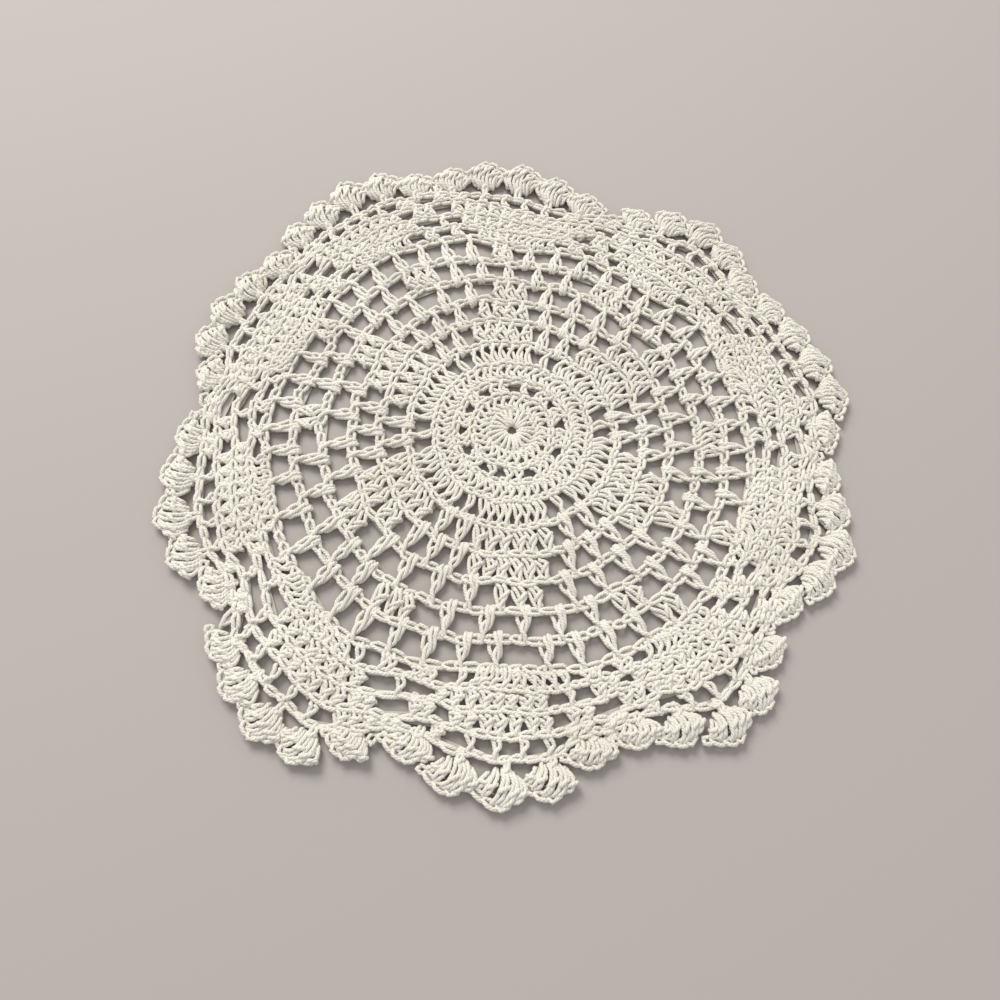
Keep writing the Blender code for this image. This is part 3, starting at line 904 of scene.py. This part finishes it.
def cotton_yarn(tone):
    """Plies that turn round each other, with fine fibres."""
    material, shader, group = new_cotton("cotton_yarn", tone)
    nodes, links = material.node_tree.nodes, material.node_tree.links
    uv = nodes.new("ShaderNodeUVMap")
    parts = nodes.new("ShaderNodeSeparateXYZ")
    links.new(uv.outputs["UV"], parts.inputs["Vector"])
    both = maths(nodes, links, "ADD", parts.outputs["X"], parts.outputs["Y"])
    phase = maths(nodes, links, "MULTIPLY", both, PLIES * math.pi)
    wave = maths(nodes, links, "SINE", phase)
    ply = maths(nodes, links, "ABSOLUTE", wave)
    height = maths(nodes, links, "MULTIPLY_ADD", group.outputs["Fibres"], FIBRE_HEIGHT, ply)
    bump = nodes.new("ShaderNodeBump")
    bump.inputs["Strength"].default_value = PLY_STRENGTH
    bump.inputs["Distance"].default_value = PLY_HEIGHT
    links.new(height, bump.inputs["Height"])
    links.new(bump.outputs["Normal"], shader.inputs["Normal"])
    groove = nodes.new("ShaderNodeMapRange")
    groove.inputs["From Max"].default_value = GROOVE_EDGE
    groove.inputs["To Min"].default_value = GROOVE_SHADE
    links.new(ply, groove.inputs["Value"])
    colour = shaded(nodes, links, group.outputs["Colour"], groove.outputs["Result"])
    links.new(colour, shader.inputs["Base Color"])
    return material


def cotton_ground(tone):
    """The same cotton without plies, painted darker as shade, because it lies deep between the
    strands.
    """
    material, shader, group = new_cotton("cotton_ground", tone)
    nodes, links = material.node_tree.nodes, material.node_tree.links
    colour = shaded(nodes, links, group.outputs["Colour"], GROUND_SHADE)
    links.new(colour, shader.inputs["Base Color"])
    return material


# ---------------------------------------------------------------- building

tone = tone_group()
yarn = cotton_yarn(tone)
made = []
braids = []
plans = []
for part, rows, radius_at in (("middle", MIDDLE_ROUNDS, star_radius),
                              ("star", STAR_ROUNDS, star_radius),
                              ("mesh", OUTER_ROUNDS, star_radius),
                              ("lobe_inner", LOBE_ROUNDS[:2], lobe_radius),
                              ("lobe_outer", LOBE_ROUNDS[2:], lobe_radius)):
    strands = []
    for row in rows:
        stitches = plan_stitches(row, radius_at)
        lay_round(strands, row, radius_at, stitches)
        lay_round_braid(braids, row, radius_at, stitches)
        plans.append((row, radius_at, stitches))
    made.append(yarn_piece(part + "_stitches", strands, yarn))
made.append(yarn_piece("round_braids", braids, yarn))
strands = []
rims = []
for number, lobe in enumerate(LOBES):
    for index in range(CLUSTERS):
        lay_cluster(strands, rims, lobe, index)
    lay_notch(rims, lobe, LOBES[(number + 1) % len(LOBES)])
made.append(yarn_piece("cluster_stitches", strands, yarn))
made.append(yarn_piece("cluster_braids", rims, yarn))
# the ground's darker cotton is painted shade between the strands
ground, ground_area = lace_ground(cotton_ground(tone), plans)
made.append(ground)
for piece in made:
    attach(piece, "root")
    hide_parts("doily")

# ---------------------------------------------------------------- stage, light and camera

CAMERA_SPOT = (-0.0007, -0.1074, 0.1984)
CAMERA_TILT = math.radians(66.375)      # below the horizon
CAMERA_ROLL = math.radians(7.852)
LENS = 28.8                             # in millimetres, as the sensor's width is
SENSOR = 36.0
FLOOR_HALF = 8.0                        # half the width of the floor
FLOOR_COLOUR = (0.42, 0.38, 0.35, 1.0)
FLOOR_ROUGHNESS = 0.9
STUDIO_COLOUR = (0.95, 0.97, 1.0, 1.0)
STUDIO_STRENGTH = 0.69
WINDOW_SPOT = (-0.5, 0.7, 0.9)
WINDOW_SIZE = 0.6
WINDOW_POWER = 13.5
WINDOW_COLOUR = (1.0, 0.98, 0.95)


def camera():
    right = Vector((1.0, 0.0, 0.0))
    up = Vector((0.0, math.sin(CAMERA_TILT), math.cos(CAMERA_TILT)))
    rolled_right = right * math.cos(CAMERA_ROLL) + up * math.sin(CAMERA_ROLL)
    rolled_up = up * math.cos(CAMERA_ROLL) - right * math.sin(CAMERA_ROLL)
    back = rolled_right.cross(rolled_up)
    data = bpy.data.cameras.new("camera")
    data.lens = LENS
    data.sensor_width = SENSOR
    made_camera = bpy.data.objects.new("camera", data)
    bpy.context.scene.collection.objects.link(made_camera)
    turn = Matrix((rolled_right, rolled_up, back)).transposed().to_4x4()
    made_camera.matrix_world = Matrix.Translation(CAMERA_SPOT) @ turn
    bpy.context.scene.camera = made_camera


def area_light(name, spot, size, power, colour):
    data = bpy.data.lights.new(name, "AREA")
    data.size = size
    data.energy = power
    data.color = colour
    light = bpy.data.objects.new(name, data)
    bpy.context.scene.collection.objects.link(light)
    light.location = spot
    light.rotation_euler = (-Vector(spot)).to_track_quat("-Z", "Y").to_euler()


def stage():
    plane = bmesh.new()
    bmesh.ops.create_grid(plane, x_segments=1, y_segments=1, size=FLOOR_HALF)
    mesh = bpy.data.meshes.new("floor")
    plane.to_mesh(mesh)
    plane.free()
    floor = bpy.data.objects.new("floor", mesh)
    bpy.context.scene.collection.objects.link(floor)
    material = bpy.data.materials.new("floor")
    material.use_nodes = True
    shader = material.node_tree.nodes["Principled BSDF"]
    shader.inputs["Base Color"].default_value = FLOOR_COLOUR
    shader.inputs["Roughness"].default_value = FLOOR_ROUGHNESS
    mesh.materials.append(material)
    world = bpy.data.worlds.new("studio")
    world.use_nodes = True
    background = world.node_tree.nodes["Background"]
    background.inputs["Color"].default_value = STUDIO_COLOUR
    background.inputs["Strength"].default_value = STUDIO_STRENGTH
    bpy.context.scene.world = world
    area_light("window", WINDOW_SPOT, WINDOW_SIZE, WINDOW_POWER, WINDOW_COLOUR)


camera()
stage()
bpy.context.scene.view_settings.view_transform = "Standard"
